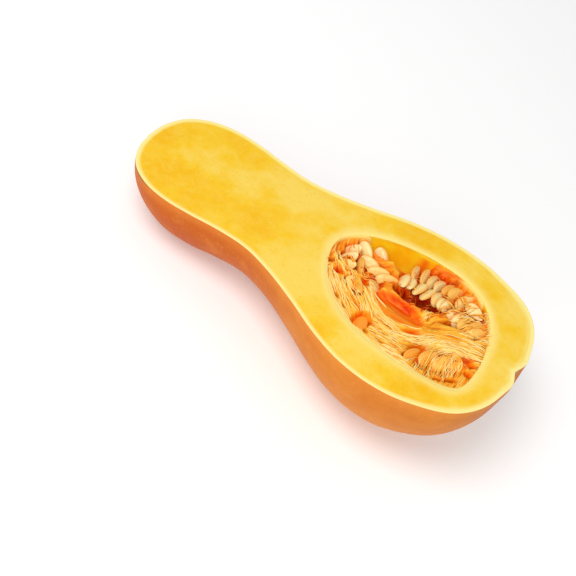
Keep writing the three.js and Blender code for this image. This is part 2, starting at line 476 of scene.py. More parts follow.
def stem_scar(points):
    """The corky star where the stem came off: how much, and its pale outline."""
    away = points - np.array(SCAR_AT)
    angle = np.arctan2(away[..., 2], away[..., 1])
    ragged = 1.4 * (noise(angle * 3, 0 * angle, 5) - 0.5)
    star = SCAR_RADIUS + SCAR_REACH * np.cos(SCAR_POINTS * angle + 0.6) + ragged
    distance = np.linalg.norm(away, axis=-1)
    inside = smoothstep(star + 0.3, star - 0.5, distance)
    outline = np.exp(-((distance - star - 0.9) / 0.7) ** 2)
    on_neck = points[..., 0] < 40
    return inside * on_neck, outline * on_neck


def half_rings(x, width, depth, angle):
    """Half rings round the squash's axis, hanging under the cut, for each x and angle."""
    return np.stack(np.broadcast_arrays(
        x, width * np.cos(angle) + bend(x), -depth * np.sin(angle),
    ), axis=-1)


def build_skin():
    """The rind: a lumpy outside, a plain inside, and the thin rim between them at the cut."""
    stations = 300
    around = 160
    inside = 50
    run = np.linspace(0, TOTAL_RUN, stations)[:, None]
    x, width, depth = outline_at(run)
    angle = np.linspace(0, np.pi, around)[None, :]
    lumps = noise(x / 34, angle * 3, 1) + 0.5 * noise(x / 15, angle * 7, 2) - 0.75
    fade = np.sin(angle) ** 0.5 * smoothstep(0, 25, run) * smoothstep(0, 25, TOTAL_RUN - run)
    swell = 1 + 0.008 * lumps * fade
    outer = half_rings(x, width * swell, depth * swell, angle)
    scar, scar_edge = stem_scar(outer)
    cork = scar * (0.4 + 0.9 * noise(outer[..., 1] / 1.3, outer[..., 2] / 1.3, 3))
    cork = cork * smoothstep(0.5, 4, -outer[..., 2])
    outer[..., 0] -= cork
    blossom = smoothstep(5.5, 3.5, TOTAL_RUN - run + noise(angle * 5, 0 * run, 6) * 2)
    rings = [outer]
    for inset, turns in ((RIM_STEP, [np.pi]), (RIND, np.linspace(np.pi, 0, inside)), (RIM_STEP, [0.0])):
        rings.append(half_rings(*outline_at(run, inset), np.array(turns)[None, :]))
    points = np.concatenate(rings, axis=1)
    columns = points.shape[1]

    def on_outside(values):
        """Values for the outside's points, and zero for the rim and the inside."""
        full = np.zeros((stations, columns))
        full[:, :around] = values
        return full

    # Darker just under the cut, on the near side of the neck tip.
    neck_dark_band = np.exp(-((x - 15) / 9) ** 2) * smoothstep(2.2, 0.4, -outer[..., 2]) * (outer[..., 1] < 0)
    skin = make_object(
        "skin", points.reshape(-1, 3), grid_faces(stations, columns, wrap=True),
        {
            # Painted light: how much the skin within 10 mm of the cut is painted lighter.
            "painted_light_near_cut": on_outside(smoothstep(10, 0, -outer[..., 2])),
            "edge": 1 - on_outside(1.0),
            "scar": on_outside(np.maximum(scar, blossom)),
            "scar_edge": on_outside(scar_edge * 0.7),
            "neck_dark_band": on_outside(0.8 * neck_dark_band),
            "neck": on_outside(smoothstep(150, 60, x + 0 * angle)),
        },
        weld=0.02, crease=50,
    )
    skin.data.materials.append(skin_material())
    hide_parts("rind")


# ---- the flesh

# The flesh reaches this far into the rind, so that no gap shows between them.
OVERLAP = 0.1

# The ends of the seam along the middle of the cut, and where the skin beside the cavity's end is.
SEAM_START = 16.0
SEAM_END = 261.0
SKIN_PAST_CAVITY = 253.0

# How many points go across the cut from skin to cavity, round the cavity and round the underside.
STRIP = 44
WALL = 80
UNDER = 60


def flesh_stations():
    """Where each ring of the flesh crosses the seam, and the run along the skin it starts from."""
    neck = np.linspace(SEAM_START, CAVITY_START, 90)
    turn = np.linspace(0, np.pi, 130)
    bulb = (CAVITY_START + CAVITY_END) / 2 - (CAVITY_END - CAVITY_START) / 2 * np.cos(turn)
    end = np.linspace(CAVITY_END, SEAM_END, 12)
    rising = FINE[:, 0].argmax()
    run_start = np.interp(CAVITY_START, FINE[:rising, 0], RUN[:rising])
    run_end = RUN[np.argmax(FINE[:, 0] > SKIN_PAST_CAVITY)]
    share = (bulb - CAVITY_START) / (CAVITY_END - CAVITY_START)
    run = np.concatenate([
        np.linspace(0, run_start, len(neck))[:-1],
        run_start + (run_end - run_start) * share,
        np.linspace(run_end, TOTAL_RUN, len(end))[1:],
    ])
    return np.concatenate([neck[:-1], bulb, end[1:]]), run


def within_cavity(x):
    """Whether the cut meets the cavity at x."""
    return (x > CAVITY_START) & (x < CAVITY_END)


def seam_at(x):
    """Half width, depth and middle of the cavity, which shrinks to a seam along the fruit's axis."""
    width, depth, middle = cavity_at(x)
    before = smoothstep(CAVITY_START - 40, CAVITY_START, x)
    past = smoothstep(CAVITY_END, CAVITY_END + 12, x)
    middle = np.where(x <= CAVITY_START, bend(x) * (1 - before) + CAVITY_FAR_LEAN * before, middle)
    middle = np.where(x >= CAVITY_END, -CAVITY_NEAR_LEAN * (1 - past) + bend(x) * past, middle)
    return np.where(within_cavity(x), width, 0), np.where(within_cavity(x), depth, 0), middle


def flesh_points(seam_x, run):
    """Rings of points: over the cut, round the cavity, over the cut again and round underneath."""
    width, wall_depth, middle = seam_at(seam_x)
    x, half, depth = outline_at(run, RIND - OVERLAP)
    across = np.linspace(0, 1, STRIP)
    strips = []
    for side in (1, -1):
        outer = np.stack([x, bend(x) + side * half, 0 * x], axis=1)
        inner = np.stack([seam_x, middle + side * width, 0 * x], axis=1)
        strip = outer[:, None] + (inner - outer)[:, None] * across[None, :, None]
        strips.append(strip if side == 1 else strip[:, ::-1])
    wall_angle = np.linspace(0, np.pi, WALL)
    wall = np.stack([
        seam_x[:, None] + 0 * wall_angle,
        middle[:, None] + width[:, None] * np.cos(wall_angle),
        -wall_depth[:, None] * np.sin(wall_angle),
    ], axis=2)
    under = half_rings(x[:, None], half[:, None], depth[:, None], np.linspace(np.pi, 0, UNDER))
    return np.concatenate([strips[0], wall[:, 1:-1], strips[1], under[:, 1:-1]], axis=1)


def cut_outlines(seam_x, run):
    """The skin line and the cavity's rim on the cut, as points."""
    x, half, _ = outline_at(run, RIND - OVERLAP)
    skin_line = [np.stack([x, bend(x) + side * half], axis=1) for side in (1, -1)]
    cavity_x = seam_x[within_cavity(seam_x)]
    width, _, middle = cavity_at(cavity_x)
    cavity_line = [np.stack([cavity_x, middle + side * width], axis=1) for side in (1, -1)]
    return np.concatenate(skin_line), np.concatenate(cavity_line)


def build_flesh():
    """The cut face and the cavity's wall; the cut dips a little, most of all at the cavity's rim."""
    seam_x, run = flesh_stations()
    points = flesh_points(seam_x, run)
    rows, columns = points.shape[:2]
    _, _, middle = seam_at(seam_x)
    flat = points[..., 2] > -0.01
    second = STRIP + WALL - 2
    on_cut = flat & (np.abs(points[..., 1] - middle[:, None]) < 1)
    on_cut[:, :STRIP] = True
    on_cut[:, second:second + STRIP] = True
    to_skin, to_cavity = np.full((2, rows, columns), FAR)
    for target, line in zip((to_skin, to_cavity), cut_outlines(seam_x, run)):
        target[on_cut & flat] = nearest(points[..., :2][on_cut & flat], line)
    wobble = noise(points[..., 0] / 9, points[..., 1] / 9, 11) * 2
    rim_width = 2.2 + 2.5 * smoothstep(200, 262, points[..., 0])
    near_skin = smoothstep(rim_width, 0.2, to_skin) * 0.85
    near_cavity = smoothstep(6.5 + wobble, 0.5, to_cavity) * 0.85
    wall = smoothstep(-0.2, -2.5, points[..., 2]) * ~on_cut
    dip = 0.5 * smoothstep(2.5, 0, to_cavity) + 0.12 * noise(points[..., 0] / 3, points[..., 1] / 3, 8)
    points[..., 2] -= np.where(flat, 0.02 + dip * smoothstep(0.0, 1.0, to_skin), 0)
    flesh = make_object(
        "flesh_cut", points.reshape(-1, 3), grid_faces(rows, columns, wrap=True),
        {"near_skin": near_skin, "near_cavity": near_cavity, "wall": wall}, weld=0.02, crease=50,
    )
    flesh.data.materials.append(flesh_material())
    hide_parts("flesh")


def nearest(spots, line):
    """Distance of each spot from the closest point of a line of points."""
    batch = 2000
    result = np.empty(len(spots))
    for start in range(0, len(spots), batch):
        part = spots[start:start + batch]
        gaps = np.linalg.norm(part[:, None] - line[None], axis=2)
        result[start:start + batch] = gaps.min(axis=1)
    return result


# ---- the pulp's surface and grain

GRID_STEP = 0.3
GRID_X = np.arange(CAVITY_START - 1, CAVITY_END + 1, GRID_STEP)
GRID_Y = np.arange(-46, 46, GRID_STEP)

# The smooth sheet in the middle of the pulp.
SHEET_CENTRE = (188.5, -7.5)
SHEET_HALF_SIZE = (19.5, 9.5)
SHEET_TURN = -3

# Lumps of pulp in the deep crevice: place, radius, height of the top.
LUMPS = [((179.5, 13), 4.5, -7), ((190.5, 13), 4, -9), ((201, 14.5), 3.5, -9), ((212, 10), 3.5, -6)]

# Openings between the strings: place, half sizes, turn in degrees, depth. No string crosses one.
PITS = [
    ((176, -31), (5.5, 8.0), -20, 0), ((152, 29), (6.0, 3.2), 25, 6),
    ((155, -25), (2.2, 1.0), -50, 4), ((162, -29), (2.2, 1.0), -45, 4),
    ((181, -36), (2.4, 1.1), -30, 4), ((192, -37.5), (2.2, 0.9), -20, 4), ((204, -17), (6.0, 1.7), 28, 5),
    ((146, -7), (3.2, 1.8), 20, 7), ((154.5, -7.5), (3.2, 1.6), 40, 8), ((139, -3), (2.2, 1.2), 60, 5),
    ((163, -3), (3.0, 1.8), -60, 9), ((155, 7), (2.5, 1.5), 30, 8), ((149, 11), (3.0, 1.6), 60, 9),
    ((142, 10), (2.5, 1.5), 80, 8), ((167, 5), (3.5, 1.5), 0, 9), ((151, 2), (3.0, 1.3), 60, 8),
    ((212, 35), (4.0, 2.0), 10, 9), ((219, 6), (5.0, 1.4), 30, 7), ((224, 11), (4.0, 1.4), 30, 7),
    ((230, 32), (3.0, 1.8), -30, 8), ((226, 20), (3.5, 1.2), 60, 8), ((216, 23), (3.0, 1.3), 20, 8),
    ((232, 16), (4.5, 1.0), 40, 6), ((239, 12.5), (2.5, 0.8), 40, 5), ((238, 7), (3.0, 0.8), 40, 4),
    ((234, 24), (2.5, 1.2), 50, 7), ((209, -34), (2.5, 1.5), 60, 6), ((213, -24), (6.0, 3.6), 42, 7),
    ((211, -31), (3.5, 1.2), 50, 6), ((224, -18), (2.8, 1.1), 35, 6), ((228.5, -22), (3.2, 1.0), 60, 6),
    ((222, -25), (2.5, 0.9), 60, 6), ((241, -12), (5.0, 2.6), -30, 6), ((245, -21), (1.8, 1.6), 0, 8),
    ((239, -32), (3.5, 1.2), 35, 6), ((232, -37), (3.0, 1.0), 20, 5),
]

# A pit whose smaller half size is at least this lets light in. Narrower ones look dark.
WIDE_PIT = 1.6

# Where the pulp's painted shade is deeper and redder, in pockets and pits: place, reach, how much.
WARM_SPOTS = [
    ((149, 10), 15, 0.75), ((165, 4), 9, 0.6), ((192, 12), 16, 1.0), ((214, 24), 15, 0.8),
    ((232, 22), 9, 0.5), ((214, -27), 7, 0.8), ((242, -16), 7, 0.8), ((236, -34), 7, 0.5),
    ((176, -30), 5, 1.0), ((144, -4), 6, 0.6), ((204, -17), 5, 0.8),
]

# The way the strings run, as lines drawn over the pulp: points in the cut, then how many strings
# follow the line, how widely they spread, how long and thick they are, how pale, how high above
# the surface, how much they wander, whether they lie over the seeds, and how far they may run past
# the pulp's edge.
Strings = namedtuple(
    "Strings", "line count spread length radius tone lift swing over past", defaults=(False, 0),
)
STRING_LINES = [
    Strings([(138, 0), (146, -17), (162, -31), (185, -40), (215, -42)], 60, 2.0, 24, 0.34, 0.9, 0.1, 0.2),
    Strings([(147, -8), (158, -20), (178, -30), (204, -36)], 110, 5.5, 20, 0.3, 0.85, 0.1, 0.3),
    Strings([(168, -8), (174, -19), (186, -36)], 40, 3, 20, 0.42, 0.9, 0.3, 0.25),
    Strings([(171, -13), (182, -21), (197, -23), (214, -16), (236, -8)],
            70, 2.6, 24, 0.34, 0.88, 0.3, 0.2),
    Strings([(186, -34), (200, -28), (214, -16), (230, -10)], 60, 4, 22, 0.32, 0.85, 0.2, 0.3),
    Strings([(206, -22), (218, -16), (232, -10), (246, -8)], 50, 2, 20, 0.35, 0.92, 0.3, 0.15),
    Strings([(216, -17), (213, -27), (211, -38)], 16, 3, 18, 0.34, 0.7, 0.4, 0.25, over=True),
    Strings([(222, -16), (221, -28), (222, -40)], 32, 3, 18, 0.34, 0.75, 0.5, 0.3, over=True),
    Strings([(228, -15), (230, -26), (232, -38)], 32, 3, 18, 0.34, 0.75, 0.5, 0.3, over=True),
    Strings([(234, -14), (238, -24), (240, -34)], 24, 2.5, 14, 0.34, 0.65, 0.3, 0.3, over=True),
    Strings([(213, 8), (220, 18), (226, 32)], 16, 4, 14, 0.42, 0.6, 0.5, 0.6, over=True),
    Strings([(222, 6), (230, 14), (236, 24)], 26, 4, 14, 0.4, 0.62, 0.4, 0.6, over=True),
    Strings([(214, 27), (222, 23), (230, 24), (238, 20)], 18, 5, 12, 0.42, 0.6, 0.4, 0.7, over=True),
    Strings([(229, 4), (237, 8), (246, 11)], 40, 4, 12, 0.3, 0.92, 0.15, 0.2, over=True, past=3),
    Strings([(232, -4), (240, -3), (249, -2)], 30, 4, 12, 0.3, 0.95, 0.1, 0.15, past=2.5),
    Strings([(228, 22), (235, 24), (241, 27)], 24, 5, 9, 0.3, 0.8, 0.1, 0.2, past=1.5),
    Strings([(143, -9), (139, -12), (135, -15)], 16, 7, 8, 0.32, 0.9, 0.1, 0.2, past=1.5),
    Strings([(138, 3), (148, -1), (160, -6), (170, -11)], 34, 3, 16, 0.46, 0.6, 0.4, 0.4, over=True),
    Strings([(139, -8), (150, -5), (162, 0), (168, 2)], 16, 3, 14, 0.44, 0.5, 0.5, 0.4, over=True),
    Strings([(150, 12), (153, 4), (156, -4), (158, -12)], 14, 4, 15, 0.46, 0.42, 0.3, 0.4, over=True),
    Strings([(140, 15), (150, 11), (160, 7), (169, 8)], 14, 4, 12, 0.44, 0.42, 0.3, 0.8, over=True),
    Strings([(136, 20), (138, 8), (138, -4)], 14, 2, 9, 0.36, 0.7, 0.2, 0.3, over=True),
    Strings([(163, 24), (178, 27), (198, 27), (214, 24)], 26, 5, 14, 0.3, 0.3, 0.2, 0.5),
    Strings([(184, 8), (196, 6), (206, 10)], 34, 4, 12, 0.42, 0.08, 0.6, 0.9),
    Strings([(178, 26), (190, 26), (202, 27), (214, 26)], 12, 3, 9, 0.4, 0.45, 0.3, 0.8, over=True),
    Strings([(206, -5), (204, 2), (202, 10)], 9, 1.6, 13, 0.45, 0.85, 0.8, 0.6),
    Strings([(206, 2), (210, 8), (213, 15)], 10, 2, 12, 0.42, 0.3, 0.5, 0.7),
]

# Lines that only turn the grain of the smooth sheet, with no loose strings.
GRAIN_LINES = [
    [(172, -8), (184, -12), (196, -12), (206, -8)],
    [(174, -3), (186, -5), (198, -5), (206, -4)],
]


def turned(x, y, centre, turn):
    """Coordinates about a centre, along and across a turned axis."""
    angle = math.radians(turn)
    dx, dy = x - centre[0], y - centre[1]
    return dx * math.cos(angle) + dy * math.sin(angle), dy * math.cos(angle) - dx * math.sin(angle)


def hollow_surface(x, y, centre, half, turn):
    """The underside of an ellipsoid over each point of the cut, or above the cut outside it."""
    u, v = turned(x, y, centre, turn)
    inside = 1 - (u / half[0]) ** 2 - (v / half[1]) ** 2
    surface = centre[2] - half[2] * np.sqrt(np.maximum(inside, 0))
    return np.where(inside > 0, surface, ABOVE)


def dense(line, step=1.0):
    """A smooth line of points through a few."""
    line = np.asarray(line, dtype=float)
    rough = np.linalg.norm(np.diff(line, axis=0), axis=1).sum()
    return catmull(line, np.linspace(0, 1, int(rough / step) + 2))


def flow_field(x, y):
    """The direction of the grain, as an angle, over a grid: nearby lines count for most."""
    reach = 4.0
    cosine, sine = np.zeros_like(x), np.zeros_like(x)
    for line in [each.line for each in STRING_LINES] + GRAIN_LINES:
        points = dense(line, 3.0)
        tangent = np.gradient(points, axis=0)
        for (px, py), (tx, ty) in zip(points, tangent):
            weight = np.exp(-((x - px) ** 2 + (y - py) ** 2) / (2 * reach ** 2)) + 1e-6
            angle = math.atan2(ty, tx)
            cosine += weight * math.cos(2 * angle)
            sine += weight * math.sin(2 * angle)
    wander = 0.5 * (noise(x / 6, y / 6, 21) - 0.5) + 0.5 * (noise(x / 2.5, y / 2.5, 22) - 0.5)
    return np.arctan2(sine, cosine) / 2 + wander


def sample(field, x, y):
    """Bilinear look-up in a field on the grid."""
    u = np.clip((x - GRID_X[0]) / GRID_STEP, 0, len(GRID_X) - 1.001)
    v = np.clip((y - GRID_Y[0]) / GRID_STEP, 0, len(GRID_Y) - 1.001)
    i, j = u.astype(int), v.astype(int)
    a, b = u - i, v - j
    low = field[i, j] * (1 - b) + field[i, j + 1] * b
    high = field[i + 1, j] * (1 - b) + field[i + 1, j + 1] * b
    return low * (1 - a) + high * a


def combed(flow_x, flow_y, speckle, x, y, reach):
    """Speckle smeared along the flow, which leaves fibres."""
    step = 0.4
    total = sample(speckle, x, y)
    for way in (1, -1):
        px, py = x.copy(), y.copy()
        for _ in range(int(reach / step)):
            dx, dy = sample(flow_x, px, py), sample(flow_y, px, py)
            px, py = px + way * step * dx, py + way * step * dy
            total += sample(speckle, px, py)
    low, high = np.percentile(total, [2, 98])
    return np.clip((total - low) / (high - low), 0, 1)


def blurred(field, radius):
    """A soft average over a radius in millimetres."""
    size = max(int(radius / GRID_STEP), 1)
    kernel = np.exp(-np.linspace(-2, 2, 2 * size + 1) ** 2)
    kernel /= kernel.sum()
    for axis in (0, 1):
        padding = [(size, size) if k == axis else (0, 0) for k in (0, 1)]
        padded = np.pad(field, padding, mode="edge")
        field = np.apply_along_axis(np.convolve, axis, padded, kernel, mode="valid")
    return field


def seed_surfaces(x, y, seeds, swell):
    """The upper and lower sides of all the seeds, as ellipsoids swollen a little."""
    upper, lower = np.full_like(x, -FAR), np.full_like(x, ABOVE)
    for centre, axes, half in seeds:
        shape = axes.T @ np.diag(1 / (half * swell) ** 2) @ axes
        dx, dy = x - centre[0], y - centre[1]
        b = shape[0, 2] * dx + shape[1, 2] * dy
        c = shape[0, 0] * dx ** 2 + 2 * shape[0, 1] * dx * dy + shape[1, 1] * dy ** 2 - 1
        root = b ** 2 - shape[2, 2] * c
        reach = np.sqrt(np.maximum(root, 0))
        upper = np.where(root > 0, np.maximum(upper, centre[2] + (reach - b) / shape[2, 2]), upper)
        lower = np.where(root > 0, np.minimum(lower, centre[2] - (reach + b) / shape[2, 2]), lower)
    return upper, lower


def pulp_base(x, y):
    """The pulp's surface before pits and fibres, and where on the smooth sheet each point is."""
    base = -0.9 - 0.9 * noise(x / 7, y / 7, 31)
    # The first hollow, a wide dish, gives way to the smooth sheet, which has a slope of its own.
    for centre, half, turn in HOLLOWS[1:]:
        base = np.minimum(base, hollow_surface(x, y, centre, half, turn))
    u, v = turned(x, y, SHEET_CENTRE, SHEET_TURN)
    u, v = u / SHEET_HALF_SIZE[0], v / SHEET_HALF_SIZE[1]
    lens = 1 - u ** 2 - v ** 2
    sheet = -2.0 - 6.5 * smoothstep(-0.7, 1.1, v) * smoothstep(0, 0.5, lens)
    base = np.where(lens > 0, np.minimum(base, sheet), base)
    base = blurred(base, 1.3)
    for centre, radius, top in LUMPS:
        away = ((x - centre[0]) ** 2 + (y - centre[1]) ** 2) / radius ** 2
        base = np.where(away < 2, np.maximum(base, top - 5 * away), base)
    return base, lens, v


def cut_pits(base, x, y):
    """Cuts the pits into the base, and gives how near each point is to any pit and to a dark one."""
    pocket, shade = np.zeros_like(x), np.zeros_like(x)
    for centre, half, turn, depth in PITS:
        u, v = turned(x, y, centre, turn)
        dip = np.exp(-((u / half[0]) ** 2 + (v / half[1]) ** 2))
        base -= depth * dip
        pocket = np.maximum(pocket, dip)
        if half[1] < WIDE_PIT:
            shade = np.maximum(shade, dip)
    return pocket, shade


def warm_at(x, y):
    """How much the warm spots deepen the painted shade, from 0 to 1."""
    warm = sum(
        much * np.exp(-((x - at[0]) ** 2 + (y - at[1]) ** 2) / reach ** 2)
        for at, reach, much in WARM_SPOTS
    )
    return np.clip(warm, 0, 1)


def crevice_strip(x, y):
    """Where the pulp leaves the far rim and goes straight down into the crevice."""
    width, _, middle = cavity_at(x)
    along = smoothstep(176, 186, x) * smoothstep(214, 205, x)
    return smoothstep(0.4, 0.65, (y - middle) / width) * along


def pulp_fields(seeds):
    """The pulp's surface, colours and grain on the grid, and the places that strings keep off."""
    x, y = np.meshgrid(GRID_X, GRID_Y, indexing="ij")
    base, lens, sheet_v = pulp_base(x, y)
    pocket, shade = cut_pits(base, x, y)
    angle = flow_field(x, y)
    flow_x, flow_y = np.cos(angle), np.sin(angle)
    random = np.random.default_rng(7)
    fine = combed(flow_x, flow_y, random.random(x.shape), x, y, 5)
    coarse = combed(flow_x, flow_y, blurred(random.random(x.shape), 0.7), x, y, 7)
    fibre = 0.45 * fine + 0.55 * coarse
    smooth = blurred(smoothstep(0, 0.25, lens), 1.0)
    surface = base + (1.8 - 1.4 * smooth) * (fibre - 0.6)
    upper, lower = seed_surfaces(x, y, seeds, np.array([1.08, 1.15, 1.5]))
    surface = np.minimum(surface, np.where(lower < ABOVE, np.maximum(lower, surface - 4), ABOVE))
    width, _, middle = cavity_at(x)
    strip = crevice_strip(x, y)
    rim = smoothstep(2.6, 0.3, width - np.abs(y - middle) + 2.0 * (fibre - 0.5)) * (1 - strip)
    gap = smoothstep(-2, -7, blurred(base, 2.5) + 4 * (coarse - 0.5))
    surface = surface * (1 - rim * (1 - gap)) + (-0.55 - 0.5 * fibre) * rim * (1 - gap)
    surface = np.minimum(surface, -0.2)
    # Painted shade: the pulp is painted redder the lower its surface lies, more at the warm spots, in the
    # grooves between fibres, down the crevice strip and on the sheet's far, sloping side.
    warm = warm_at(x, y)
    warmth_and_shade = np.clip((-surface - 1) / 22 * (0.7 + 1.1 * warm), 0, 1)
    warmth_and_shade = warmth_and_shade + (1 - fibre) * (0.38 + 0.36 * warm) + 0.2 * strip
    facing = smoothstep(-0.5, 0.9, sheet_v)
    on_sheet = 0.2 + 0.22 * facing + 0.3 * (1 - coarse) + 0.08 * (1 - fine)
    warmth_and_shade = warmth_and_shade * (1 - smooth) + smooth * on_sheet
    # Painted shade in the grooves between fibres, in patches, and in the narrow pits.
    patchy = 0.35 + 0.65 * smoothstep(0.35, 0.6, noise(x / 5, y / 5, 51))
    groove_shade = smoothstep(0.52, 0.12, fibre) * patchy * (1 - smooth) * (1 - 0.6 * rim)
    return dict(
        surface=surface, warmth_and_shade=np.clip(warmth_and_shade, 0, 1), rim=rim * 0.9,
        groove_shade=np.maximum(groove_shade, shade), flow_x=flow_x, flow_y=flow_y, pocket=pocket,
        bridge=blurred(np.minimum(base, -0.6), 2.5), seeds=upper,
    )


def build_pulp(fields):
    """The pulp: its open surface, and under it the cavity's floor that it lies on."""
    rows, columns = 270, 240
    turn = np.linspace(0, np.pi, rows)
    x = (CAVITY_START + CAVITY_END) / 2 - (CAVITY_END - CAVITY_START) / 2 * np.cos(turn)
    width, _, middle = cavity_at(x)
    across = -np.cos(np.linspace(0, np.pi, columns))
    x = np.broadcast_to(x[:, None], (rows, columns))
    y = middle[:, None] + width[:, None] * across[None, :]
    floor = cavity_floor(x, y)
    film = 0.35 * smoothstep(0, 2, -floor)
    surface = sample(fields["surface"], x, y)
    top = np.minimum(np.maximum(surface, floor + film), -0.55)
    floor = np.minimum(floor, top)
    wall = smoothstep(-0.5, 1.0, floor + film - surface) * smoothstep(-0.5, -1.0, top)
    red = smoothstep(0.25, 0.7, noise(x / 9, y / 9, 41))
    red = red * smoothstep(176, 186, x) * smoothstep(-1, -5, top)
    upper = np.stack([x, y, top], axis=-1).reshape(-1, 3)
    lower = np.stack([x, y, floor], axis=-1).reshape(-1, 3)
    faces = grid_faces(rows, columns)
    faces += [tuple(reversed(f)) for f in grid_faces(rows, columns, start=rows * columns)]
    rim = sample(fields["rim"], x, y) * (1 - wall)
    # Painted shade in the grooves and narrow pits.
    groove_shade = sample(fields["groove_shade"], x, y) * (1 - wall)
    # The pulp's colour, with painted shade in its hollows.
    warmth_and_shade = sample(fields["warmth_and_shade"], x, y)
    attributes = dict(warmth_and_shade=warmth_and_shade, rim=rim, wall=wall, red=red, groove_shade=groove_shade)
    pulp = make_object(
        "pulp_mass", np.concatenate([upper, lower]), faces,
        {key: np.tile(values.ravel(), 2) for key, values in attributes.items()}, weld=0.01,
    )
    pulp.data.materials.append(pulp_material())
    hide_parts("pulp")


# ---- the loose strings

# The length of a string's steps, how deep into a pit one ends, how much of the way to the grain's
# direction a step turns, and how quickly a string sways.
STRING_STEP = 0.7
PIT_EDGE = 0.45
TURN_SHARE = 0.5
SWAY = 0.6

# A string ends where the cavity is shallower than this.
RIM_DEPTH = 1.5


def string_paths(fields):
    """Strings traced along the flow: lists of points, with a radius and a tone for each."""
    random = np.random.default_rng(11)
    paths = []
    for spec in STRING_LINES:
        points = dense(spec.line, 1.0)
        tangent = np.gradient(points, axis=0)
        normal = np.stack([-tangent[:, 1], tangent[:, 0]], axis=1)
        normal /= np.linalg.norm(normal, axis=1)[:, None]
        for _ in range(spec.count):
            k = random.integers(len(points))
            start = points[k] + normal[k] * random.normal(0, spec.spread)
            heading = math.atan2(tangent[k, 1], tangent[k, 0])
            path = trace(fields, spec, start, heading, random)
            if len(path) < 6:
                continue
            arch = np.sin(np.linspace(0, np.pi, len(path)))
            path[:, 2] += spec.lift * arch * random.uniform(0, 2)
            path[:, 2] -= 0.5 * (1 - arch)
            path[:, 2] = np.minimum(path[:, 2], 0.25)
            tone = np.clip(spec.tone + random.normal(0, 0.2), 0, 1)
            paths.append((path, spec.radius * random.uniform(0.5, 1.35), tone))
    return paths


def trace(fields, spec, start, heading, random):
    """Follows the grain from the middle of a string to both its ends."""
    half = spec.length * random.uniform(0.5, 1.2) / 2
    phase = random.uniform(0, 6.3)
    swing = spec.swing * random.uniform(0.4, 1.4)
    ends = []
    for way in (1, -1):
        point = np.array(start, dtype=float)
        facing = heading if way == 1 else heading + math.pi
        end = []
        past = 0.0
        for k in range(int(half / STRING_STEP)):
            x, y = point[:1], point[1:]
            if sample(fields["pocket"], x, y)[0] > PIT_EDGE:
                break
            if cavity_floor(x, y)[0] > -RIM_DEPTH:
                past += STRING_STEP
                if past > spec.past:
                    break
            low, high = sample(fields["surface"], x, y)[0], sample(fields["bridge"], x, y)[0]
            height = -0.3 if past else max(low, high) + 0.1
            if spec.over:
                height = max(height, sample(fields["seeds"], x, y)[0] + 0.25)
            end.append((point[0], point[1], height))
            fx, fy = sample(fields["flow_x"], x, y)[0], sample(fields["flow_y"], x, y)[0]
            if fx * math.cos(facing) + fy * math.sin(facing) < 0:
                fx, fy = -fx, -fy
            target = math.atan2(fy, fx) + swing * math.sin(SWAY * way * k + phase)
            turn = (target - facing + math.pi) % (2 * math.pi) - math.pi
            facing += TURN_SHARE * turn
            point = point + STRING_STEP * np.array([math.cos(facing), math.sin(facing)])
        ends.append(end)
    path = np.array(ends[1][:0:-1] + ends[0]).reshape(-1, 3)
    if len(path) > 4:
        path[1:-1, 2] = (path[:-2, 2] + path[1:-1, 2] + path[2:, 2]) / 3
    return path


def build_strings(name, paths):
    """One piece with a thin tube along each path, which tapers to both ends."""
    sides = 6
    points, shaded_tones, faces = [], [], []
    ring = np.linspace(0, 2 * np.pi, sides, endpoint=False)
    base = 0
    for path, radius, tone in paths:
        tangent = np.gradient(path, axis=0)
        tangent /= np.linalg.norm(tangent, axis=1)[:, None]
        side = np.cross(tangent, (0, 0, 1))
        side /= np.linalg.norm(side, axis=1)[:, None]
        up = np.cross(side, tangent)
        share = np.linspace(0, 1, len(path))
        thick = radius * np.sin(np.pi * np.clip(share, 0.02, 0.98)) ** 0.4
        rings = (path[:, None] + thick[:, None, None] * (
            np.cos(ring)[None, :, None] * side[:, None] + np.sin(ring)[None, :, None] * up[:, None]))
        points.append(rings.reshape(-1, 3))
        # Painted shade: each string is painted redder on its underside and a little paler on top.
        shaded_tones.append((tone + 0.22 * np.minimum(np.sin(ring), 0.3) + 0 * path[:, :1]).ravel())
        faces += grid_faces(len(path), sides, start=base, wrap=True)
        last = base + (len(path) - 1) * sides
        faces.append(tuple(range(base, base + sides))[::-1])
        faces.append(tuple(range(last, last + sides)))
        base = last + sides
    obj = make_object(name, np.concatenate(points), faces, {"tone": np.concatenate(shaded_tones)})
    obj.data.materials.append(strand_material())


# ---- the seeds

# Seeds still wrapped in their pulp skin, which is deep yellow, by number.
WRAPPED = {
    6: 0.3, 19: 0.3, 20: 0.35, 28: 0.35, 29: 0.3, 30: 0.35,
    31: 0.45, 32: 0.05, 33: 0.1, 34: 0.25, 35: 0.3, 36: 0.1,
}

# Seeds that lie deeper, with the pulp closing over them, and how much they are lowered. The
# others are raised a little.
SUNKEN = {32, 33, 36}
SUNKEN_DROP = 0.6
SEED_RISE = 0.4

# Every seed ends this far below the cut.
SEED_UNDER_CUT = 0.05


def seed_axes(node):
    """Centre, axes and half sizes of a CAD seed: its length towards the tip, width, thickness."""
    points = unplace([v.co for v in node.data.vertices])
    centre = points.mean(axis=0)
    _, _, axes = np.linalg.svd(points - centre, full_matrices=False)
    local = (points - centre) @ axes.T
    if np.abs(local[local[:, 0] > 0, 1]).max() > np.abs(local[local[:, 0] < 0, 1]).max():
        axes[0] *= -1
    if axes[2][2] < 0:
        axes[2] *= -1
    axes[1] = np.cross(axes[2], axes[0])
    local = (points - centre) @ axes.T
    low, high = local.min(axis=0), local.max(axis=0)
    return centre + (low + high) / 2 @ axes, axes, (high - low) / 2


